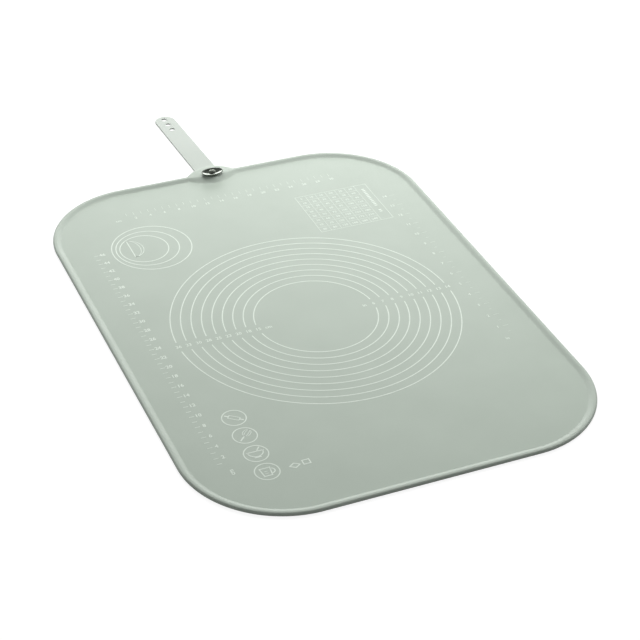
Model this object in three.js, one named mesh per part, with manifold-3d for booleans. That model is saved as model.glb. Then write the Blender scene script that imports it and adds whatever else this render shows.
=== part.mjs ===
// Roll-up baking mat: a flat silicone sheet held in a raised silicone bead that runs round its edge.
// In the middle of one short side the bead swells into an almond-shaped lug that carries a metal stud,
// and a closing strap with three holes leaves the lug and folds at its root.
// Millimetres, +Z up, +Y towards the strap. The origin is the middle of the underside, on the table.

import * as THREE from "three";
import { mergeVertices } from "three/addons/utils/BufferGeometryUtils.js";
import Module from "manifold-3d";

const wasm = await Module();
wasm.setup();

// Sheet
const mat_width = 500;
const mat_length = 700;
const corner_radius = 121;
const sheet_thickness = 2.5;

// Edge bead: it hooks over the sheet's edge and stands on the table beside it
const bead_width = 7;
const bead_rise = 2.7;
const bead_wall = 3;
const bead_shoulder = 3.3;
const bead_foot_round = 1.8;

// Lug: how far the bead swells outwards, inwards and upwards, and how long the swelling is
const lug_length = 72;
const lug_swell_out = 16;
const lug_swell_in = 15;
const lug_rise = 2.8;
const lug_shoulder = 6.3;
const lug_fullness = 0.75;

// Stud: an oval dished cup, a knob that clamps it, and a backing plate let into the lug's underside
const stud_inset = 9;
const cup_width = 30;
const cup_depth = 18;
const cup_height = 3.6;
const cup_foot_diameter = 14;
const cup_wall = 0.9;
const cup_seat_depth = 0.3;
const knob_diameter = 9.2;
const knob_neck_diameter = 6.6;
const knob_neck_height = 2;
const knob_head_height = 1.8;
const shank_diameter = 5;
const backing_diameter = 14;
const backing_thickness = 1.2;
const backing_lift = 0.4;

// Strap, measured from the stud's axis: it lies on the table and leans a little to one side
const strap_width = 31;
const strap_tip_width = 29;
const strap_thickness = 2;
const strap_reach = 187;
const strap_root_tab = 2.5;
const strap_edge_round = 0.5;
const strap_lean = THREE.MathUtils.degToRad(2.6);
const hole_diameter = 7;
const hole_pitch = 15.2;
const hole_count = 3;
const hole_to_tip = 9.8;

// Clearance between pieces that seat in one another
const fit_gap = 0.3;

// Largest share of a width or thickness that the round on one of its edges may take
const round_limit = 0.47;

// Smoothness of the round stretches
const corner_steps = 15;
const lug_steps = 24;
const round_steps = 4;
const lathe_steps = 36;

const half_width = mat_width / 2;
const half_length = mat_length / 2;
const stud_y = half_length - stud_inset;
const bead_top = sheet_thickness + bead_rise;
const lug_top = bead_top + lug_rise;
const lug_half_length = lug_length / 2;
const strap_root = stud_inset + lug_swell_out + strap_root_tab;
const cup_seat = lug_top - cup_seat_depth;
const cup_foot_height = cup_seat_depth + fit_gap;
const cup_floor = cup_foot_height + cup_wall;

// Materials
const silicone = new THREE.MeshStandardMaterial({ color: 0xb9c4b8, roughness: 0.55, metalness: 0 });
const silicone_strap = new THREE.MeshStandardMaterial({ color: 0xc3cdc2, roughness: 0.55, metalness: 0 });
const polished_steel = new THREE.MeshStandardMaterial({ color: 0xc8ccc6, roughness: 0.15, metalness: 1 });
const plain_steel = new THREE.MeshStandardMaterial({ color: 0xa9adaa, roughness: 0.4, metalness: 1 });

// A geometry reduced to shared positions, without the triangles that collapse on an axis
function closedGeometry(geometry) {
  geometry.deleteAttribute("normal");
  geometry.deleteAttribute("uv");
  const merged = mergeVertices(geometry);
  const index = merged.getIndex().array;
  const kept = [];
  for (let i = 0; i < index.length; i += 3) {
    const [a, b, c] = [index[i], index[i + 1], index[i + 2]];
    if (a !== b && b !== c && c !== a) {
      kept.push(a, b, c);
    }
  }
  merged.setIndex(kept);
  return merged;
}

function toSolid(geometry) {
  const closed = closedGeometry(geometry);
  const vertProperties = new Float32Array(closed.getAttribute("position").array);
  const triVerts = new Uint32Array(closed.getIndex().array);
  return new wasm.Manifold(new wasm.Mesh({ numProp: 3, vertProperties, triVerts }));
}

function fromSolid(solid) {
  const mesh = solid.getMesh();
  const geometry = new THREE.BufferGeometry();
  geometry.setAttribute("position", new THREE.BufferAttribute(mesh.vertProperties, 3));
  geometry.setIndex(new THREE.BufferAttribute(mesh.triVerts, 1));
  return geometry;
}

function namedMesh(name, geometry, material) {
  geometry.computeVertexNormals();
  const mesh = new THREE.Mesh(geometry, material);
  mesh.name = name;
  return mesh;
}

// A profile of [radius, height] points turned round the Z axis
function turned(profile) {
  const points = profile.map(([radius, height]) => new THREE.Vector2(radius, height));
  return new THREE.LatheGeometry(points, lathe_steps).rotateX(Math.PI / 2);
}

// Points on a quarter of an ellipse about a centre, from a start angle on
function quarterRound(center_u, center_z, reach, rise, start_angle) {
  const curve = new THREE.EllipseCurve(center_u, center_z, reach, rise, start_angle, start_angle + Math.PI / 2);
  return curve.getPoints(round_steps).map(({ x, y }) => [x, y]);
}

// Share of the lug's full swelling at a distance x from its middle
function lugShare(x) {
  const along = x / lug_half_length;
  return Math.pow(Math.max(0, 1 - along * along), lug_fullness);
}

// Stations round the mat's edge, anticlockwise: a point, its outward direction and the share of the lug there
function edgeStations() {
  const stations = [];
  const corner_x = half_width - corner_radius;
  const corner_y = half_length - corner_radius;
  const addCorner = (center_x, center_y, start_angle) => {
    for (let i = 0; i <= corner_steps; i++) {
      const angle = start_angle + (Math.PI / 2) * (i / corner_steps);
      const out = new THREE.Vector2(Math.cos(angle), Math.sin(angle));
      const point = out.clone().multiplyScalar(corner_radius);
      point.add(new THREE.Vector2(center_x, center_y));
      stations.push({ point, out, share: 0 });
    }
  };
  addCorner(corner_x, corner_y, 0);
  for (let i = 0; i <= lug_steps; i++) {
    const x = lug_half_length * Math.cos(Math.PI * (i / lug_steps));
    const point = new THREE.Vector2(x, half_length);
    stations.push({ point, out: new THREE.Vector2(0, 1), share: lugShare(x) });
  }
  addCorner(-corner_x, corner_y, Math.PI / 2);
  addCorner(-corner_x, -corner_y, Math.PI);
  addCorner(corner_x, -corner_y, (3 * Math.PI) / 2);
  return stations;
}

// Distance from the mat's edge in to the face that the sheet's own edge stands against
function seatDepth(share) {
  return bead_wall + share * lug_swell_in;
}

// Domed section of the bead, as [distance out from the mat's edge, height], with the hook over the sheet
function beadSection(share) {
  const outer = share * lug_swell_out;
  const inner = -(bead_width + share * lug_swell_in);
  const seat = -seatDepth(share);
  const rise = bead_rise + share * lug_rise;
  const shoulder = THREE.MathUtils.lerp(Math.min(bead_shoulder, round_limit * bead_width), lug_shoulder, share);
  const foot = Math.min(bead_foot_round, 2 * round_limit * bead_wall);
  return [
    [seat, 0],
    ...quarterRound(outer - foot, sheet_thickness, foot, sheet_thickness, -Math.PI / 2),
    ...quarterRound(outer - shoulder, sheet_thickness, shoulder, rise, 0).slice(1),
    ...quarterRound(inner + shoulder, sheet_thickness, shoulder, rise, Math.PI / 2),
    [seat, sheet_thickness],
  ];
}

// Closed sections of [x, y, z] points joined one to the next, and the last to the first, as one closed ring
function closedSweep(sections) {
  const per_section = sections[0].length;
  const index = [];
  for (let i = 0; i < sections.length; i++) {
    const here = i * per_section;
    const next = ((i + 1) % sections.length) * per_section;
    for (let j = 0; j < per_section; j++) {
      const k = (j + 1) % per_section;
      index.push(here + j, next + j, next + k);
      index.push(here + j, next + k, here + k);
    }
  }
  const ring = new THREE.BufferGeometry();
  ring.setAttribute("position", new THREE.Float32BufferAttribute(sections.flat(2), 3));
  ring.setIndex(index);
  return ring;
}

// The bead's section carried round the whole edge
function beadRing(stations) {
  return closedSweep(stations.map(({ point, out, share }) =>
    beadSection(share).map(([distance, height]) =>
      [point.x + out.x * distance, point.y + out.y * distance, height])));
}

// A round peg on the stud's axis, used to cut holes and seats in the lug
function studPeg(diameter, bottom, top) {
  const peg = new THREE.CylinderGeometry(diameter / 2, diameter / 2, top - bottom, lathe_steps);
  return toSolid(peg.rotateX(Math.PI / 2).translate(0, stud_y, (bottom + top) / 2));
}

// The stub of the strap that is moulded on the lug, out to the fold
function rootTab() {
  const length = strap_root - stud_inset;
  const tab = new THREE.BoxGeometry(strap_width, length, strap_thickness);
  tab.translate(0, strap_root - fit_gap / 2 - length / 2, strap_thickness / 2);
  return toSolid(tab.rotateZ(strap_lean).translate(0, stud_y, 0));
}

function makeEdgeBead(stations) {
  const backing_roof = backing_lift + backing_thickness;
  const solid = toSolid(beadRing(stations))
    .add(rootTab())
    .subtract(studPeg(backing_diameter + 2 * fit_gap, -backing_roof, backing_roof))
    .subtract(studPeg(shank_diameter + 2 * fit_gap, -backing_roof, 2 * lug_top))
    .subtract(studPeg(cup_foot_diameter + 2 * fit_gap, cup_seat, 2 * lug_top));
  return namedMesh("edge_bead", fromSolid(solid), silicone);
}

// The sheet fills the bead's hook up to a small clearance, with a bay where the lug swells inwards
function makeSheet(stations) {
  const outline = stations.map(({ point, out, share }) =>
    point.clone().addScaledVector(out, -(seatDepth(share) + fit_gap)));
  const shape = new THREE.Shape(outline);
  const sheet = new THREE.ExtrudeGeometry(shape, { depth: sheet_thickness, bevelEnabled: false });
  return namedMesh("mat_sheet", closedGeometry(sheet), silicone);
}

// One wall of the cup from its round foot to its oval lip, as [reach in x, reach in y, height] points
function cupFlank(start_height, inset) {
  const foot = cup_foot_diameter / 2 - inset;
  const points = [];
  for (let i = 0; i <= 2 * round_steps; i++) {
    const angle = (Math.PI / 4) * (i / round_steps);
    const reach_x = foot + (cup_width / 2 - inset - foot) * Math.sin(angle);
    const reach_y = foot + (cup_depth / 2 - inset - foot) * Math.sin(angle);
    points.push([reach_x, reach_y, cup_height - (cup_height - start_height) * Math.cos(angle)]);
  }
  return points;
}

// Thin oval dish with a flat round foot let into the lug, a curved flank and a narrow lip
function makeStudCup() {
  const hole = shank_diameter / 2 + fit_gap;
  const foot = cup_foot_diameter / 2;
  const lip_inset = cup_wall / 2;
  const profile = [
    [hole, hole, 0],
    [foot, foot, 0],
    ...cupFlank(cup_foot_height, 0),
    [cup_width / 2 - lip_inset, cup_depth / 2 - lip_inset, cup_height + lip_inset],
    ...cupFlank(cup_floor, cup_wall).reverse(),
    [hole, hole, cup_floor],
  ];
  const sections = [];
  for (let i = 0; i < lathe_steps; i++) {
    const angle = 2 * Math.PI * (i / lathe_steps);
    sections.push(profile.map(([reach_x, reach_y, height]) =>
      [reach_x * Math.cos(angle), reach_y * Math.sin(angle), height]));
  }
  const cup = closedGeometry(closedSweep(sections));
  cup.translate(0, stud_y, cup_seat);
  return namedMesh("stud_cup", cup, polished_steel);
}

// Turned knob: shank through cup, lug and backing, neck for the strap's hole, domed head
function makeStudKnob() {
  const head = knob_diameter / 2;
  const neck = knob_neck_diameter / 2;
  const shank = shank_diameter / 2;
  const neck_bottom = cup_seat + cup_floor;
  const head_bottom = neck_bottom + knob_neck_height;
  const dome = new THREE.EllipseCurve(0, head_bottom, head, knob_head_height, 0, Math.PI / 2);
  const crown = dome.getPoints(2 * round_steps).map(({ x, y }) => [x, y]);
  crown.pop();
  const profile = [
    [0, backing_lift],
    [shank, backing_lift],
    [shank, neck_bottom],
    [neck, neck_bottom],
    [neck, head_bottom],
    ...crown,
    [0, head_bottom + knob_head_height],
  ];
  const knob = closedGeometry(turned(profile));
  knob.translate(0, stud_y, 0);
  return namedMesh("stud_knob", knob, polished_steel);
}

// Washer under the lug that the shank is riveted into
function makeStudBacking() {
  const hole = shank_diameter / 2 + fit_gap;
  const rim = backing_diameter / 2;
  const top = backing_lift + backing_thickness;
  const profile = [[hole, backing_lift], [rim, backing_lift], [rim, top], [hole, top], [hole, backing_lift]];
  const washer = closedGeometry(turned(profile));
  washer.translate(0, stud_y, 0);
  return namedMesh("stud_backing", washer, plain_steel);
}

// Flat strap from the fold to its round tip, with a row of holes on its middle line
function makeStrap() {
  const root = strap_root + fit_gap / 2;
  const tip_radius = strap_tip_width / 2;
  const tip_center = strap_reach - tip_radius;
  const outline = new THREE.Shape();
  outline.moveTo(-strap_width / 2, root);
  outline.lineTo(strap_width / 2, root);
  outline.lineTo(tip_radius, tip_center);
  outline.absarc(0, tip_center, tip_radius, 0, Math.PI);
  outline.closePath();
  for (let i = 0; i < hole_count; i++) {
    const hole = new THREE.Path();
    hole.absarc(0, strap_reach - hole_to_tip - i * hole_pitch, hole_diameter / 2, 0, 2 * Math.PI);
    outline.holes.push(hole);
  }
  const edge = Math.min(strap_edge_round, round_limit * strap_thickness);
  const strap = new THREE.ExtrudeGeometry(outline, {
    depth: strap_thickness - 2 * edge,
    bevelThickness: edge,
    bevelSize: edge,
    bevelOffset: -edge,
    bevelSegments: 2,
    curveSegments: 3 * round_steps,
  });
  strap.translate(0, 0, edge);
  return namedMesh("strap", closedGeometry(strap), silicone_strap);
}

function makeMat() {
  const mat = new THREE.Group();
  const stations = edgeStations();
  mat.add(makeSheet(stations));
  mat.add(makeEdgeBead(stations));
  mat.add(makeStudCup());
  mat.add(makeStudKnob());
  mat.add(makeStudBacking());
  const strap_line = new THREE.Group();
  strap_line.position.set(0, stud_y, 0);
  strap_line.rotation.z = strap_lean;
  strap_line.add(makeStrap());
  mat.add(strap_line);
  return mat;
}

export default makeMat();
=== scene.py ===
# Roll-up baking mat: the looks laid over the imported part. Metres in Blender, +Z up, +Y towards the strap.
# The mat's lengths are in millimetres, as in the part's source, and are scaled once when a mesh is made.
# The camera, the lamps and the floor are in metres.

import math

import bmesh
import bpy
from mathutils import Matrix, Vector


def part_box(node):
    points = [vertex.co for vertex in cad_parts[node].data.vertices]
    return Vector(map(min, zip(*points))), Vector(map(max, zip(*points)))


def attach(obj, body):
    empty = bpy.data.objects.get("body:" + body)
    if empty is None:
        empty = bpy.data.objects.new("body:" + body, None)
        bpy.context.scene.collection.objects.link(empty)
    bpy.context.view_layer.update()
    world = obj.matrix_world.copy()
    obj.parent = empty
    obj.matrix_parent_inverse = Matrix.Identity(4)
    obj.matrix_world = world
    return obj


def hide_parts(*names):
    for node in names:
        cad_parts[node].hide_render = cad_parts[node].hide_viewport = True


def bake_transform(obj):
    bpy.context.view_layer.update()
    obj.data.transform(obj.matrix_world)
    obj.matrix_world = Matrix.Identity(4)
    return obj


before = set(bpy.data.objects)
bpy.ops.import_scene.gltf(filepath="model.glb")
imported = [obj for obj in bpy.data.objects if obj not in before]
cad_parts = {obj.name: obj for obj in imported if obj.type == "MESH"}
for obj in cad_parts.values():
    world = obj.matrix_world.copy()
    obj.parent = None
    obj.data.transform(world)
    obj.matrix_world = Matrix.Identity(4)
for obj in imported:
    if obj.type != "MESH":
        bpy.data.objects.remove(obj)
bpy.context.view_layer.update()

MM = 0.001


def node_box(node):
    """A node's lowest and highest corners at rest, in millimetres."""
    low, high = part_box(node)
    return low / MM, high / MM


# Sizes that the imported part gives
bead_low, bead_high = node_box("edge_bead")
sheet_high = node_box("mat_sheet")[1]
cup_low, cup_high = node_box("stud_cup")
knob_low, knob_high = node_box("stud_knob")
backing_low, backing_high = node_box("stud_backing")
strap_low, strap_high = node_box("strap")
half_width = (bead_high.x - bead_low.x) / 2
half_length = -bead_low.y
sheet_top = sheet_high.z
stud_y = (cup_low.y + cup_high.y) / 2
cup_reach_x = (cup_high.x - cup_low.x) / 2
cup_reach_y = (cup_high.y - cup_low.y) / 2
cup_seat = cup_low.z
knob_radius = (knob_high.x - knob_low.x) / 2
backing_radius = (backing_high.x - backing_low.x) / 2
strap_thickness = strap_high.z - strap_low.z

# Edge bead: place, width and height as in the part's source, crown, foot and inner slope the scene's own
corner_radius = 121
bead_width = 7
bead_rise = 2.7
bead_wall = 3
bead_shoulder = 2.3
bead_slope = 3.4
bead_foot_round = 2.4
bead_flat_margin = 0.25

# How far beyond the solid bead its inner slope ends on the sheet
run_out_reach = 4.2

# Lug: a little shorter than the solid's, with tapered ends and a pad that keeps it full under the stud
lug_half_length = 33
lug_swell_out = 16
lug_swell_in = 15
lug_rise = 2.8
lug_shoulder = 6.3
lug_slope = 11.5
pad_half_length = 14
pad_reach = 6.3
lug_fullness = 0.95

# Stud, as in the part's source apart from the cup's broader lip and its hollow
cup_foot_radius = 7
cup_wall = 0.9
cup_height = 3.6
cup_foot_height = 0.6
cup_floor = 1.5
cup_lip_width = 2.8
cup_lip_steps = 3
knob_neck_radius = 3.3
knob_neck_height = 2
knob_head_height = 1.8
shank_radius = 2.5
fit_gap = 0.3

# Strap, measured along its own line from the stud's axis
strap_width = 31
strap_tip_width = 29
strap_reach = 187
strap_hidden_start = 12
strap_lean = math.radians(2.6)
strap_edge_round = 0.7
strap_flat_margin = 0.4

# Height of the strap's underside over the table, so that it isn't level with the lug's
strap_lift = 0.05

# Holes in the strap, and the stretch where it bends
hole_radius = 3.5
hole_pitch = 15.2
hole_count = 3
hole_to_tip = 9.8
fold_start = 24
fold_end = 38
fold_cuts = 14

# Printed marks: ink that stands a little above the sheet
ink_rise = 0.06
ink_sink = 0.03
line_width = 1.4
tick_width = 0.45
digit_boldness = 0.1
inch = 25.4
print_scale = 0.99
circle_x = 2.3
circle_y = -15.3
first_circle_inches = 6
last_circle_inches = 14
circle_gap = 9.5
circle_gap_y = -17
digit_size = 7.4
ruler_pitch = 10 * print_scale
ruler_digit_size = 6.6
fine_line = 0.8

# The left ruler's marks, which are bolder
bold_tick_width = 0.85
bold_digit_size = 7.8
bold_boldness = 0.22

# Camera, solved from the printed circles
camera_place = (-0.7232, -1.6833, 1.2539)
camera_target = (0.0043, -0.0228, 0)
camera_roll = math.radians(1.208)
camera_lens = 102.78
camera_sensor = 36

# Smoothness of the round stretches
corner_steps = 48
lug_steps = 96
round_steps = 8
lathe_steps = 128
circle_steps = 180
half_moon_steps = 40
whisk_steps = 32

# Edges sharper than this are shaded as edges, and points closer than this, in millimetres, are one
sharp_angle = math.radians(40)
weld_distance = 0.0005


def mesh_object(name, mesh, material):
    """Puts a mesh into the scene as an object with one material."""
    piece = bpy.data.objects.new(name, mesh)
    bpy.context.collection.objects.link(piece)
    mesh.materials.append(material)
    return piece


def finish_bmesh(name, shape, material):
    """Scales a shape from millimetres, closes it into a smooth-shaded piece and frees it."""
    bmesh.ops.scale(shape, vec=(MM, MM, MM), verts=shape.verts)
    bmesh.ops.recalc_face_normals(shape, faces=shape.faces)
    for face in shape.faces:
        face.smooth = True
    mesh = bpy.data.meshes.new(name)
    shape.to_mesh(mesh)
    shape.free()
    mesh.set_sharp_from_angle(angle=sharp_angle)
    return mesh_object(name, mesh, material)


def arc_points(center_u, center_v, radius_u, radius_v, start, end, steps):
    """Points on an arc of an ellipse between two angles in radians."""
    points = []
    for i in range(steps + 1):
        angle = start + (end - start) * i / steps
        points.append((center_u + radius_u * math.cos(angle), center_v + radius_v * math.sin(angle)))
    return points


def loft_loops(shape, loops):
    """Joins closed loops of equal length with quads, from each loop to the next and back to the first."""
    rows = [[shape.verts.new(point) for point in loop] for loop in loops]
    count = len(rows[0])
    for i in range(len(rows)):
        here = rows[i]
        ahead = rows[(i + 1) % len(rows)]
        for j in range(count):
            k = (j + 1) % count
            shape.faces.new((here[j], ahead[j], ahead[k], here[k]))


def oval_shape(profile):
    """A closed profile of (reach in x, reach in y, height) points carried round the stud's axis."""
    shape = bmesh.new()
    loops = []
    for i in range(lathe_steps):
        angle = 2 * math.pi * i / lathe_steps
        turn_x = math.cos(angle)
        turn_y = math.sin(angle)
        loops.append([(reach_x * turn_x, stud_y + reach_y * turn_y, z) for reach_x, reach_y, z in profile])
    loft_loops(shape, loops)
    bmesh.ops.remove_doubles(shape, verts=shape.verts, dist=weld_distance)
    return shape


def turned_shape(profile):
    """A closed profile of (radius, height) points turned round the stud's axis."""
    return oval_shape([(radius, radius, z) for radius, z in profile])


def lug_share(x):
    """Share of the lug's full swelling at a distance x from its middle."""
    along = x / lug_half_length
    return max(0.0, 1 - along * along) ** lug_fullness


def pad_share(x):
    """Share of the pad that keeps the lug full under the stud, at a distance x from the lug's middle."""
    if abs(x) >= pad_half_length:
        return 0.0
    return math.cos(math.pi / 2 * x / pad_half_length) ** 2


def edge_stations():
    """Points round the mat's edge with their outward direction and the share of the lug there."""
    stations = []
    corner_x = half_width - corner_radius
    corner_y = half_length - corner_radius

    def add_corner(center_x, center_y, quarter):
        for i in range(corner_steps + 1):
            angle = (quarter + i / corner_steps) * math.pi / 2
            out = Vector((math.cos(angle), math.sin(angle)))
            stations.append((Vector((center_x, center_y)) + out * corner_radius, out, 0.0))

    add_corner(corner_x, corner_y, 0)
    for i in range(lug_steps + 1):
        x = lug_half_length * math.cos(math.pi * i / lug_steps)
        stations.append((Vector((x, half_length)), Vector((0, 1)), lug_share(x)))
    add_corner(-corner_x, corner_y, 1)
    add_corner(-corner_x, -corner_y, 2)
    add_corner(corner_x, -corner_y, 3)
    return stations


def seat_depth(share):
    """Distance from the mat's edge in to the face that the sheet's own edge stands against."""
    return bead_wall + share * lug_swell_in


def soft_slope(start_u, end_u, high, low, steps):
    """Points of a slope that leaves a height level and arrives at another level."""
    points = []
    for i in range(steps + 1):
        share = i / steps
        z = low + (high - low) * (1 + math.cos(math.pi * share)) / 2
        points.append((start_u + (end_u - start_u) * share, z))
    return points


def bead_section(share, pad):
    """Domed section of the bead as (distance out from the mat's edge, height), with a soft inner slope."""
    outer = share * lug_swell_out
    inner = -(bead_width + share * lug_swell_in)
    seat = -seat_depth(share)
    rise = bead_rise + share * lug_rise
    shoulder = bead_shoulder + share * (lug_shoulder - bead_shoulder)
    slope_top = inner + bead_slope + share * (lug_slope - bead_slope) - pad * pad_reach
    quarter = math.pi / 2
    base = sheet_top - ink_sink
    foot_center = outer - bead_foot_round
    foot = arc_points(foot_center, sheet_top, bead_foot_round, sheet_top, -quarter, 0, round_steps)
    crown = arc_points(outer - shoulder, sheet_top, shoulder, rise, 0, quarter, 2 * round_steps)
    slope = soft_slope(slope_top, inner - run_out_reach, sheet_top + rise, base, 3 * round_steps)
    flat_end = foot_center - bead_flat_margin
    return [(seat, 0), (flat_end, 0), *foot, *crown[1:], *slope, (seat, base)]


def cut_away(piece, cutter):
    """Takes the cutter's shape out of a piece for good and removes the cutter."""
    cut = piece.modifiers.new("cut", "BOOLEAN")
    cut.operation = "DIFFERENCE"
    cut.solver = "EXACT"
    cut.object = cutter
    bpy.context.view_layer.update()
    graph = bpy.context.evaluated_depsgraph_get()
    mesh = bpy.data.meshes.new_from_object(piece.evaluated_get(graph))
    mesh.set_sharp_from_angle(angle=sharp_angle)
    piece.modifiers.clear()
    piece.data = mesh
    bpy.data.objects.remove(cutter)


def stud_plug(material):
    """The room that the stud takes up in the lug: washer recess, bore for the shank and seat for the cup."""
    above = 3 * cup_seat
    recess = backing_high.z
    recess_radius = backing_radius + fit_gap
    bore = shank_radius + fit_gap
    seat = cup_foot_radius + fit_gap
    profile = [(0, -recess), (recess_radius, -recess), (recess_radius, recess), (bore, recess),
               (bore, cup_seat), (seat, cup_seat), (seat, above), (0, above)]
    return finish_bmesh("stud_cutter", turned_shape(profile), material)


def make_bead(material):
    """The bead carried round the edge as one ring, with the stud's seat, bore and recess cut in the lug."""
    shape = bmesh.new()
    loops = []
    for point, out, share in edge_stations():
        section = bead_section(share, pad_share(point.x))
        loops.append([(point.x + out.x * u, point.y + out.y * u, z) for u, z in section])
    loft_loops(shape, loops)
    piece = finish_bmesh("bead_skin", shape, material)
    cut_away(piece, stud_plug(material))
    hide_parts("edge_bead")
    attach(piece, "mat")


def make_sheet(material):
    """The flat sheet, out to its seat under the bead."""
    shape = bmesh.new()
    outline = [point - out * (seat_depth(share) + ink_sink) for point, out, share in edge_stations()]
    bottom = [shape.verts.new((point.x, point.y, 0)) for point in outline]
    top = [shape.verts.new((point.x, point.y, sheet_top)) for point in outline]
    shape.faces.new(top)
    shape.faces.new(list(reversed(bottom)))
    for i in range(len(outline)):
        k = (i + 1) % len(outline)
        shape.faces.new((bottom[i], bottom[k], top[k], top[i]))
    piece = finish_bmesh("sheet_skin", shape, material)
    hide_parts("mat_sheet")
    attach(piece, "mat")


def strap_loops():
    """The strap's outline and its holes as closed loops of points, along the strap's own line."""
    tip_radius = strap_tip_width / 2
    tip_y = strap_reach - tip_radius
    steps = 4 * round_steps
    outline = [(-strap_width / 2, strap_hidden_start), (strap_width / 2, strap_hidden_start)]
    outline += arc_points(0, tip_y, tip_radius, tip_radius, 0, math.pi, steps)
    loops = [outline]
    for i in range(hole_count):
        hole_y = strap_reach - hole_to_tip - i * hole_pitch
        loops.append(arc_points(0, hole_y, hole_radius, hole_radius, 0, 2 * math.pi, steps)[:-1])
    return loops


def strap_slab():
    """The strap with square edges, cut across at even steps where it bends."""
    shape = bmesh.new()
    for loop in strap_loops():
        ring = [shape.verts.new((x, y, strap_thickness)) for x, y in loop]
        for i in range(len(ring)):
            shape.edges.new((ring[i], ring[(i + 1) % len(ring)]))
    bmesh.ops.triangle_fill(shape, use_beauty=True, edges=shape.edges[:])
    for i in range(fold_cuts + 1):
        cut_y = fold_start + (fold_end - fold_start) * i / fold_cuts
        everything = shape.verts[:] + shape.edges[:] + shape.faces[:]
        bmesh.ops.bisect_plane(shape, geom=everything, plane_co=(0, cut_y, 0), plane_no=(0, 1, 0))
    lower = bmesh.ops.extrude_face_region(shape, geom=shape.faces[:])["geom"]
    lower_verts = [item for item in lower if isinstance(item, bmesh.types.BMVert)]
    bmesh.ops.translate(shape, vec=(0, 0, strap_lift - strap_thickness), verts=lower_verts)
    bmesh.ops.recalc_face_normals(shape, faces=shape.faces)
    return shape


def round_strap(shape):
    """Rounds the strap's upper and lower edges, with a narrow band of flat faces beside each round."""
    rim_angle = math.radians(80)
    level_normal = 0.999
    rims = [edge for edge in shape.edges if edge.is_manifold and edge.calc_face_angle() > rim_angle
            and abs(edge.verts[0].co.z - edge.verts[1].co.z) < strap_thickness / 2]
    bmesh.ops.bevel(shape, geom=rims, offset=strap_edge_round, segments=round_steps // 2, profile=0.5,
                    affect="EDGES", clamp_overlap=True)
    caps = [face for face in shape.faces if abs(face.normal.z) > level_normal]
    bmesh.ops.inset_region(shape, faces=caps, thickness=strap_flat_margin, use_even_offset=True)


def make_strap(material):
    """The strap from inside the lug to its round tip, laid out straight, with cuts across the short stretch
    beside the lug where it bends.
    """
    shape = strap_slab()
    round_strap(shape)
    lean = Matrix.Translation((0, stud_y, 0)) @ Matrix.Rotation(strap_lean, 4, "Z")
    bmesh.ops.transform(shape, matrix=lean, verts=shape.verts)
    piece = finish_bmesh("strap_skin", shape, material)
    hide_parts("strap")
    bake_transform(piece)


def cup_flank(foot, start_height, inset):
    """One wall of the cup from a round foot to its oval lip."""
    points = []
    steps = 2 * round_steps
    for i in range(steps + 1):
        angle = math.pi / 2 * i / steps
        reach_x = foot + (cup_reach_x - inset - foot) * math.sin(angle)
        reach_y = foot + (cup_reach_y - inset - foot) * math.sin(angle)
        z = cup_seat + cup_height - (cup_height - start_height) * math.cos(angle)
        points.append((reach_x, reach_y, z))
    return points


def cup_lip():
    """The cup's lip: a quarter round up from the outer wall, then a shelf that slopes in and down."""
    lip_round = cup_wall / 2
    lip_bottom = cup_seat + cup_height
    insets = []
    for step, height in arc_points(lip_round, 0, lip_round, lip_round, 0, math.pi / 2, round_steps)[1:]:
        insets.append((cup_wall - step, height))
    for i in range(1, cup_lip_steps):
        share = i / cup_lip_steps
        insets.append((lip_round + share * (cup_lip_width - lip_round), lip_round * (1 - share)))
    return [(cup_reach_x - inset, cup_reach_y - inset, lip_bottom + height) for inset, height in insets]


def make_cup(material):
    """Oval dish with a flat round foot let into the lug, a hollowed inside and a broad lip that slopes in."""
    hole = shank_radius + fit_gap
    foot = cup_foot_radius
    outside = cup_flank(foot, cup_foot_height, 0)
    inside = cup_flank(knob_neck_radius, cup_floor, cup_lip_width)
    profile = [(hole, hole, cup_seat), (foot, foot, cup_seat), *outside, *cup_lip(),
               *reversed(inside), (hole, hole, cup_seat + cup_floor)]
    piece = finish_bmesh("cup_skin", oval_shape(profile), material)
    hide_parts("stud_cup")
    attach(piece, "mat")


def make_knob(material):
    """Turned knob: shank, neck for the strap's hole and a domed head with a soft rim."""
    neck_bottom = cup_seat + cup_floor
    head_bottom = neck_bottom + knob_neck_height
    crown = arc_points(0, head_bottom, knob_radius, knob_head_height, 0, math.pi / 2, 2 * round_steps)
    profile = [(0, knob_low.z), (shank_radius, knob_low.z), (shank_radius, neck_bottom),
               (knob_neck_radius, neck_bottom), (knob_neck_radius, head_bottom), *crown]
    piece = finish_bmesh("knob_skin", turned_shape(profile), material)
    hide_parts("stud_knob")
    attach(piece, "mat")


def stroke(ink, points, width=line_width, closed=False):
    """Lays a line of ink of one width along points, as a thin closed band."""
    low = sheet_top - ink_sink
    high = sheet_top + ink_rise
    least_cosine = 0.5
    path = [Vector(point) for point in points]
    count = len(path)
    rows = []
    for i, point in enumerate(path):
        before = path[(i - 1) % count] if closed or i > 0 else path[i]
        after = path[(i + 1) % count] if closed or i < count - 1 else path[i]
        along_in = (point - before).normalized() if before != point else (after - point).normalized()
        along_out = (after - point).normalized() if after != point else along_in
        middle = (along_in + along_out).normalized()
        side = Vector((-middle.y, middle.x)) * (width / 2 / max(least_cosine, middle.dot(along_out)))
        left = point + side
        right = point - side
        rows.append([
            ink.verts.new((left.x, left.y, high)),
            ink.verts.new((right.x, right.y, high)),
            ink.verts.new((right.x, right.y, low)),
            ink.verts.new((left.x, left.y, low)),
        ])
    spans = count if closed else count - 1
    for i in range(spans):
        here = rows[i]
        ahead = rows[(i + 1) % count]
        for j in range(len(here)):
            k = (j + 1) % len(here)
            ink.faces.new((here[j], here[k], ahead[k], ahead[j]))
    if not closed:
        ink.faces.new(list(reversed(rows[0])))
        ink.faces.new(rows[-1])


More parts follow.
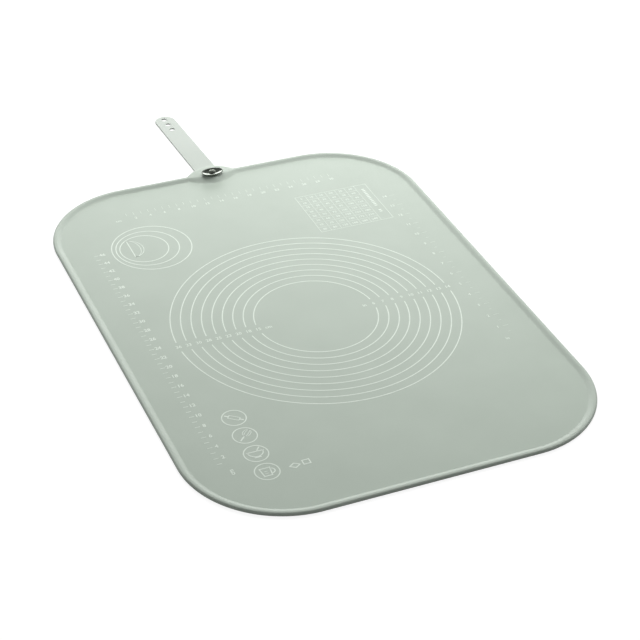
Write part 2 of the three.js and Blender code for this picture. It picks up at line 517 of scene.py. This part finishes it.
def arc_stroke(ink, x, y, radius, start=0.0, end=2 * math.pi, width=line_width):
    """A circle, or an arc of one between two angles, drawn in ink."""
    full_turn = 2 * math.pi
    whole = math.isclose(end - start, full_turn)
    fewest_steps = 8
    steps = max(fewest_steps, round(circle_steps * (end - start) / full_turn))
    points = arc_points(x, y, radius, radius, start, end, steps)
    stroke(ink, points[:-1] if whole else points, width, closed=whole)


def write(ink, words, x, y, size=digit_size, turn=0.0, boldness=digit_boldness):
    """Sets a short text in ink, centred on a point."""
    curve = bpy.data.curves.new("label", "FONT")
    curve.body = words
    curve.size = size
    curve.align_x = "CENTER"
    curve.align_y = "CENTER"
    curve.resolution_u = 2
    curve.offset = boldness
    curve.extrude = (ink_rise + ink_sink) / 2
    label = bpy.data.objects.new("label", curve)
    mesh = bpy.data.meshes.new_from_object(label)
    height = sheet_top + (ink_rise - ink_sink) / 2
    mesh.transform(Matrix.Translation((x, y, height)) @ Matrix.Rotation(turn, 4, "Z"))
    ink.from_mesh(mesh)
    bpy.data.objects.remove(label)
    bpy.data.curves.remove(curve)
    bpy.data.meshes.remove(mesh)


def finish_print(name, ink, material):
    """Makes the ink laid so far into one piece on the mat."""
    piece = finish_bmesh(name, ink, material)
    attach(piece, "mat")


def print_circles(material):
    """Nine measuring circles, open at left and right where their numbers stand."""
    inch_label_gap = 12
    centimetre_label_gap = 13
    ink = bmesh.new()
    for inches in range(first_circle_inches, last_circle_inches + 1):
        radius = inches * inch * print_scale / 2
        gap = math.asin(circle_gap / radius)
        tilt = (circle_gap_y - circle_y) / radius
        arc_stroke(ink, circle_x, circle_y, radius, gap + tilt, math.pi - gap - tilt)
        arc_stroke(ink, circle_x, circle_y, radius, math.pi + gap - tilt, 2 * math.pi - gap + tilt)
        write(ink, str(inches), circle_x + radius, circle_gap_y)
        write(ink, str(round(inches * inch / 10)), circle_x - radius, circle_gap_y)
    inner = first_circle_inches * inch * print_scale / 2
    write(ink, "in", circle_x + inner - inch_label_gap, circle_gap_y)
    write(ink, "cm", circle_x - inner + centimetre_label_gap, circle_gap_y)
    finish_print("print_circles", ink, material)


def print_top_ruler(material):
    """Centimetre ruler along the strap side, with a number every second mark."""
    zero_x = -148.8
    number_y = 278
    mark_y = 286
    mark_length = 7
    label_gap = 4
    last = 30
    ink = bmesh.new()
    for mark in range(1, last + 1):
        x = zero_x + mark * ruler_pitch
        stroke(ink, [(x, mark_y), (x, mark_y + mark_length)], tick_width)
        if mark % 2 == 0:
            write(ink, str(mark), x, number_y, ruler_digit_size)
    write(ink, "cm", zero_x - label_gap, number_y, ruler_digit_size)
    finish_print("print_top_ruler", ink, material)


def print_left_ruler(material):
    """Centimetre ruler up the left side, with a number every second mark."""
    zero_y = -247.8
    number_x = -197
    mark_x = -208
    mark_length = 6
    label_gap = 8
    last = 46
    ink = bmesh.new()
    for mark in range(1, last + 1):
        y = zero_y + mark * ruler_pitch
        stroke(ink, [(mark_x, y), (mark_x + mark_length, y)], bold_tick_width)
        if mark % 2 == 0:
            write(ink, str(mark), number_x, y, bold_digit_size, boldness=bold_boldness)
    write(ink, "cm", number_x, zero_y - label_gap, bold_digit_size, turn=math.pi / 2, boldness=bold_boldness)
    finish_print("print_left_ruler", ink, material)


def print_right_ruler(material):
    """Inch ruler up the right side, with a short mark at each half inch."""
    zero_y = -143.1
    number_x = 196
    mark_x = 203
    mark_length = 7
    half_mark_length = 3.5
    last = 14
    ink = bmesh.new()
    for half in range(1, 2 * last + 1):
        y = zero_y + half * inch * print_scale / 2
        whole = half % 2 == 0
        reach = mark_length if whole else half_mark_length
        stroke(ink, [(mark_x, y), (mark_x + reach, y)], tick_width)
        if whole:
            write(ink, str(half // 2), number_x, y, ruler_digit_size)
    write(ink, "in", number_x, zero_y, ruler_digit_size)
    finish_print("print_right_ruler", ink, material)


def print_size_rings(material):
    """Three nested rings and a half-moon, for cutting dough."""
    rings = ((-133, 202.3, 51), (-138.3, 202.8, 40.3), (-142.8, 203, 31))
    moon_x = -159
    moon_y = 207.5
    moon_reach = 19.5
    moon_bulges = (12, 16)
    quarter = math.pi / 2
    ink = bmesh.new()
    for x, y, radius in rings:
        arc_stroke(ink, x, y, radius)
    stroke(ink, [(moon_x, moon_y - moon_reach), (moon_x, moon_y + moon_reach)])
    for bulge in moon_bulges:
        arc = arc_points(moon_x, moon_y, bulge, moon_reach, -quarter, quarter, half_moon_steps)
        stroke(ink, arc, fine_line)
    finish_print("print_size_rings", ink, material)


def print_table(material):
    """A ruled table of plain numbers with a dashed heading."""
    left = 83
    right = 185
    low = 157
    high = 249
    heading_x = 168
    columns = 6
    rows = 8
    border = 0.65
    rule = 0.48
    number_size = 5.6
    number_step = 5
    heading_low = 177
    heading_pitch = 4
    heading_dashes = 16
    heading_gap = (2, 3)
    dash_half_length = 2
    dash_width = 2.2
    ink = bmesh.new()
    corners = [(left, low), (right, low), (right, high), (left, high)]
    stroke(ink, corners, border, closed=True)
    column_width = (heading_x - left) / columns
    row_height = (high - low) / rows
    for i in range(1, columns + 1):
        x = left + i * column_width
        stroke(ink, [(x, low), (x, high)], rule)
    for j in range(1, rows):
        y = low + j * row_height
        stroke(ink, [(left, y), (heading_x, y)], rule)
    for i in range(columns):
        for j in range(rows):
            number = (i + 1) * (rows - j) * number_step
            x = left + (i + 0.5) * column_width
            y = low + (j + 0.5) * row_height
            write(ink, str(number), x, y, number_size)
    middle = (heading_x + right) / 2
    for dash in range(heading_dashes):
        if dash not in heading_gap:
            y = heading_low + heading_pitch * dash
            stroke(ink, [(middle - dash_half_length, y), (middle + dash_half_length, y)], dash_width)
    finish_print("print_table", ink, material)


def placed(points, x, y, turn=0.0):
    """Points drawn round the origin, turned and moved to a place on the sheet."""
    rotation = Matrix.Rotation(turn, 2)
    return [Vector((x, y)) + rotation @ Vector(point) for point in points]


def draw_whisk(ink, x, y):
    """A handle and two nested wire loops."""
    tilt = math.radians(45)
    handle = [(-11, 0), (-1, 0)]
    handle_width = 1.8
    loop_x = 5
    loop_reach = 6
    loop_swells = (4.5, 2)
    stroke(ink, placed(handle, x, y, tilt), handle_width)
    for swell in loop_swells:
        loop = arc_points(loop_x, 0, loop_reach, swell, 0, 2 * math.pi, whisk_steps)[:-1]
        stroke(ink, placed(loop, x, y, tilt), fine_line, closed=True)


def draw_rolling_pin(ink, x, y):
    """A barrel with a handle at each end."""
    tilt = math.radians(-38)
    barrel = [(-6.5, -2.6), (6.5, -2.6), (6.5, 2.6), (-6.5, 2.6)]
    barrel_line = 1
    handle_start = 7
    handle_end = 11.5
    handle_width = 2
    stroke(ink, placed(barrel, x, y, tilt), barrel_line, closed=True)
    for side in (-1, 1):
        handle = [(side * handle_start, 0), (side * handle_end, 0)]
        stroke(ink, placed(handle, x, y, tilt), handle_width)


def draw_bowl(ink, x, y):
    """A round bowl with a rim, a foot and a spoon."""
    rim_y = 3.5
    radius = 9
    rim = [(-10.5, rim_y), (10.5, rim_y)]
    foot = [(-4, -6.8), (4, -6.8)]
    spoon = [(2, 4), (7, 10)]
    arc_stroke(ink, x, y + rim_y, radius, math.pi, 2 * math.pi)
    for line in (rim, foot, spoon):
        stroke(ink, placed(line, x, y))


def draw_cup(ink, x, y):
    """A tapered cup with a handle and two level marks."""
    wall = [(-7, 6), (-5.5, -7), (3.5, -7), (5, 6)]
    handle_x = 4.8
    handle_radius = 4
    mark_start = -3.5
    mark_end = 0.5
    mark_levels = (-3, 0.5)
    stroke(ink, placed(wall, x, y), closed=True)
    arc_stroke(ink, x + handle_x, y, handle_radius, -math.pi / 2, math.pi / 2)
    for level in mark_levels:
        stroke(ink, placed([(mark_start, level), (mark_end, level)], x, y), fine_line)


def print_icons(material):
    """Four ringed kitchen pictograms and two small ornaments beside the last."""
    icon_x = -161.5
    ring_radius = 13.8
    icons = ((-167.6, draw_rolling_pin), (-201.6, draw_whisk), (-235.6, draw_bowl), (-268.6, draw_cup))
    ink = bmesh.new()
    for y, draw in icons:
        arc_stroke(ink, icon_x, y, ring_radius)
        draw(ink, icon_x, y)
    diamond = [(-136, -270), (-130, -266), (-124, -270), (-130, -274)]
    square = [(-120, -272), (-112, -272), (-112, -265), (-120, -265)]
    for ornament in (diamond, square):
        stroke(ink, ornament, closed=True)
    finish_print("print_icons", ink, material)


def shader(name):
    """A new node material, its tree and its main shader."""
    material = bpy.data.materials.new(name)
    material.use_nodes = True
    tree = material.node_tree
    return material, tree, tree.nodes["Principled BSDF"]


def linear(red, green, blue):
    """A linear colour from screen values of 0 to 255."""
    def channel(value):
        share = value / 255
        return share / 12.92 if share <= 0.04045 else ((share + 0.055) / 1.055) ** 2.4
    return (channel(red), channel(green), channel(blue), 1)


def noise(tree, scale, detail):
    """Procedural noise in the piece's own coordinates."""
    place = tree.nodes.new("ShaderNodeTexCoord")
    texture = tree.nodes.new("ShaderNodeTexNoise")
    texture.inputs["Scale"].default_value = scale
    texture.inputs["Detail"].default_value = detail
    tree.links.new(place.outputs["Object"], texture.inputs["Vector"])
    return texture.outputs["Fac"]


def map_range(tree, value, start, end, start_level, end_level):
    """A level that goes from one value to another while its input goes from start to end."""
    reach = tree.nodes.new("ShaderNodeMapRange")
    reach.inputs["From Min"].default_value = start
    reach.inputs["From Max"].default_value = end
    reach.inputs["To Min"].default_value = start_level
    reach.inputs["To Max"].default_value = end_level
    tree.links.new(value, reach.inputs["Value"])
    return reach.outputs["Result"]


def colour_ramp(tree, factor, start, end, start_colour, end_colour):
    """A colour that goes from one to another while its factor goes from start to end."""
    ramp = tree.nodes.new("ShaderNodeValToRGB")
    first, last = ramp.color_ramp.elements
    first.position = start
    first.color = start_colour
    last.position = end
    last.color = end_colour
    tree.links.new(factor, ramp.inputs["Fac"])
    return ramp.outputs["Color"]


def math_node(tree, operation, first, second):
    """The result of one sum on two outputs of other nodes."""
    node = tree.nodes.new("ShaderNodeMath")
    node.operation = operation
    tree.links.new(first, node.inputs[0])
    tree.links.new(second, node.inputs[1])
    return node.outputs[0]


def vary_colour(tree, main, factor, low, high):
    """Lets the base colour drift between two close colours."""
    drift_start = 0.3
    drift_end = 0.7
    colour = colour_ramp(tree, factor, drift_start, drift_end, low, high)
    tree.links.new(colour, main.inputs["Base Color"])


def vary_roughness(tree, main, factor, low, high):
    """Lets the gloss drift between two levels."""
    roughness = map_range(tree, factor, 0, 1, low, high)
    tree.links.new(roughness, main.inputs["Roughness"])


def add_bump(tree, main, height, strength, distance):
    """Gives the surface a fine relief, its depth in metres."""
    bump = tree.nodes.new("ShaderNodeBump")
    bump.inputs["Strength"].default_value = strength
    bump.inputs["Distance"].default_value = distance
    tree.links.new(height, bump.inputs["Height"])
    tree.links.new(bump.outputs["Normal"], main.inputs["Normal"])


def silicone(name, low, high, rough_low, rough_high):
    """Satin moulded silicone: faint clouding, uneven gloss and a fine matt grain."""
    material, tree, main = shader(name)
    main.inputs["IOR"].default_value = 1.41
    vary_colour(tree, main, noise(tree, scale=14, detail=4), low, high)
    vary_roughness(tree, main, noise(tree, scale=60, detail=3), rough_low, rough_high)
    add_bump(tree, main, noise(tree, scale=1600, detail=3), strength=0.25, distance=0.00006)
    return material


def ink_paint():
    """Pale screen print, slightly uneven."""
    material, tree, main = shader("ink_paint")
    low = linear(224, 234, 224)
    high = linear(232, 241, 231)
    vary_colour(tree, main, noise(tree, scale=220, detail=3), low, high)
    vary_roughness(tree, main, noise(tree, scale=300, detail=2), low=0.5, high=0.62)
    add_bump(tree, main, noise(tree, scale=2400, detail=2), strength=0.2, distance=0.00004)
    return material


def polished_metal():
    """Polished steel with a faint ripple and handling haze."""
    material, tree, main = shader("polished_metal")
    main.inputs["Metallic"].default_value = 1
    low = linear(118, 123, 116)
    high = linear(134, 139, 132)
    vary_colour(tree, main, noise(tree, scale=180, detail=3), low, high)
    vary_roughness(tree, main, noise(tree, scale=260, detail=4), low=0.12, high=0.22)
    add_bump(tree, main, noise(tree, scale=900, detail=4), strength=0.12, distance=0.00004)
    return material


def satin_metal():
    """Steel with a soft, lightly worn sheen."""
    material, tree, main = shader("satin_metal")
    main.inputs["Metallic"].default_value = 1
    low = linear(120, 126, 117)
    high = linear(138, 144, 135)
    vary_colour(tree, main, noise(tree, scale=200, detail=3), low, high)
    vary_roughness(tree, main, noise(tree, scale=320, detail=4), low=0.4, high=0.52)
    add_bump(tree, main, noise(tree, scale=1100, detail=4), strength=0.15, distance=0.00004)
    return material


def plain_metal():
    """Plain steel with a dull, uneven face."""
    material, tree, main = shader("plain_metal")
    main.inputs["Metallic"].default_value = 1
    low = linear(140, 143, 140)
    high = linear(172, 175, 172)
    vary_colour(tree, main, noise(tree, scale=150, detail=4), low, high)
    vary_roughness(tree, main, noise(tree, scale=400, detail=4), low=0.32, high=0.48)
    add_bump(tree, main, noise(tree, scale=1200, detail=4), strength=0.2, distance=0.00005)
    return material


def floor_paint():
    """Grey floor that shows white to the camera and in reflections, and keeps the mat's shadow."""
    grey = 0.25
    white_level = 0.88
    material, tree, main = shader("floor_paint")
    main.inputs["Base Color"].default_value = (grey, grey, grey, 1)
    main.inputs["Roughness"].default_value = 1
    main.inputs["Specular IOR Level"].default_value = 0
    main.inputs["Emission Color"].default_value = (1, 1, 1, 1)
    path = tree.nodes.new("ShaderNodeLightPath")
    mirrored = math_node(tree, "MAXIMUM", path.outputs["Is Glossy Ray"], path.outputs["Is Transmission Ray"])
    seen = math_node(tree, "MAXIMUM", path.outputs["Is Camera Ray"], mirrored)
    level = map_range(tree, seen, 0, 1, 0, white_level)
    tree.links.new(level, main.inputs["Emission Strength"])
    return material


def make_floor():
    """A wide floor, a hair below the mat's underside so that the two aren't in one plane."""
    size = 40
    drop = 0.0002
    shape = bmesh.new()
    corners = ((-size, -size), (size, -size), (size, size), (-size, size))
    shape.faces.new([shape.verts.new((x, y, -drop)) for x, y in corners])
    mesh = bpy.data.meshes.new("floor")
    shape.to_mesh(mesh)
    shape.free()
    mesh_object("floor", mesh, floor_paint())


def make_world():
    """Pale walls, white all round at the horizon and brightest behind the mat, under a darker ceiling."""
    white = (1, 1, 1, 1)
    ceiling = (0.32, 0.33, 0.32, 1)
    ceiling_height = 0.35
    front_level = 0.3
    bright_from_y = 0.3
    horizon_full = 0.05
    horizon_end = 0.2
    world = bpy.data.worlds.new("studio")
    world.use_nodes = True
    tree = world.node_tree
    background = tree.nodes["Background"]
    place = tree.nodes.new("ShaderNodeTexCoord")
    parts = tree.nodes.new("ShaderNodeSeparateXYZ")
    tree.links.new(place.outputs["Generated"], parts.inputs["Vector"])
    colour = colour_ramp(tree, parts.outputs["Z"], 0, ceiling_height, white, ceiling)
    depth = map_range(tree, parts.outputs["Y"], -1, bright_from_y, front_level, 1)
    horizon = map_range(tree, parts.outputs["Z"], horizon_full, horizon_end, 1, 0)
    strength = math_node(tree, "MAXIMUM", depth, horizon)
    tree.links.new(colour, background.inputs["Color"])
    tree.links.new(strength, background.inputs["Strength"])
    bpy.context.scene.world = world


def make_lamp(name, place, target, width, depth, power, in_mirrors):
    """A soft rectangular lamp, shown or not shown in glossy surfaces."""
    lamp = bpy.data.lights.new(name, "AREA")
    lamp.shape = "RECTANGLE"
    lamp.size = width
    lamp.size_y = depth
    lamp.energy = power
    holder = bpy.data.objects.new(name, lamp)
    bpy.context.collection.objects.link(holder)
    holder.location = place
    holder.visible_glossy = in_mirrors
    holder.rotation_euler = (Vector(target) - Vector(place)).to_track_quat("-Z", "Y").to_euler()


def make_camera():
    """The photograph's camera."""
    data = bpy.data.cameras.new("camera")
    data.lens = camera_lens
    data.sensor_width = camera_sensor
    camera = bpy.data.objects.new("camera", data)
    bpy.context.collection.objects.link(camera)
    place = Vector(camera_place)
    aim = (Vector(camera_target) - place).to_track_quat("-Z", "Y").to_matrix().to_4x4()
    camera.matrix_world = Matrix.Translation(place) @ aim @ Matrix.Rotation(camera_roll, 4, "Z")
    bpy.context.scene.camera = camera


def make_mat():
    """Every piece of the mat, with its material."""
    make_sheet(silicone("sheet_silicone", low=linear(184, 195, 184), high=linear(188, 199, 188),
                        rough_low=0.42, rough_high=0.54))
    make_bead(silicone("bead_silicone", low=linear(185, 195, 185), high=linear(190, 200, 190),
                       rough_low=0.56, rough_high=0.68))
    make_strap(silicone("strap_silicone", low=linear(183, 191, 183), high=linear(188, 195, 188),
                        rough_low=0.42, rough_high=0.54))
    make_cup(polished_metal())
    make_knob(satin_metal())
    backing = bpy.data.objects["stud_backing"]
    backing.data.materials.clear()
    backing.data.materials.append(plain_metal())
    ink = ink_paint()
    print_circles(ink)
    print_top_ruler(ink)
    print_left_ruler(ink)
    print_right_ruler(ink)
    print_size_rings(ink)
    print_table(ink)
    print_icons(ink)


make_camera()
make_world()
make_lamp("low_softbox", place=(0.6, 1.7, 0.42), target=(0.05, 0.2, 0),
          width=1.8, depth=0.5, power=13.6, in_mirrors=True)
make_lamp("high_softbox", place=(0.35, 0.85, 1.25), target=(0.05, 0.1, 0),
          width=1.4, depth=0.9, power=17.6, in_mirrors=False)
make_lamp("side_softbox", place=(1.4, 0.3, 0.8), target=(0, 0, 0),
          width=1.4, depth=0.9, power=6.4, in_mirrors=False)
make_floor()
make_mat()
bpy.context.scene.view_settings.view_transform = "Standard"
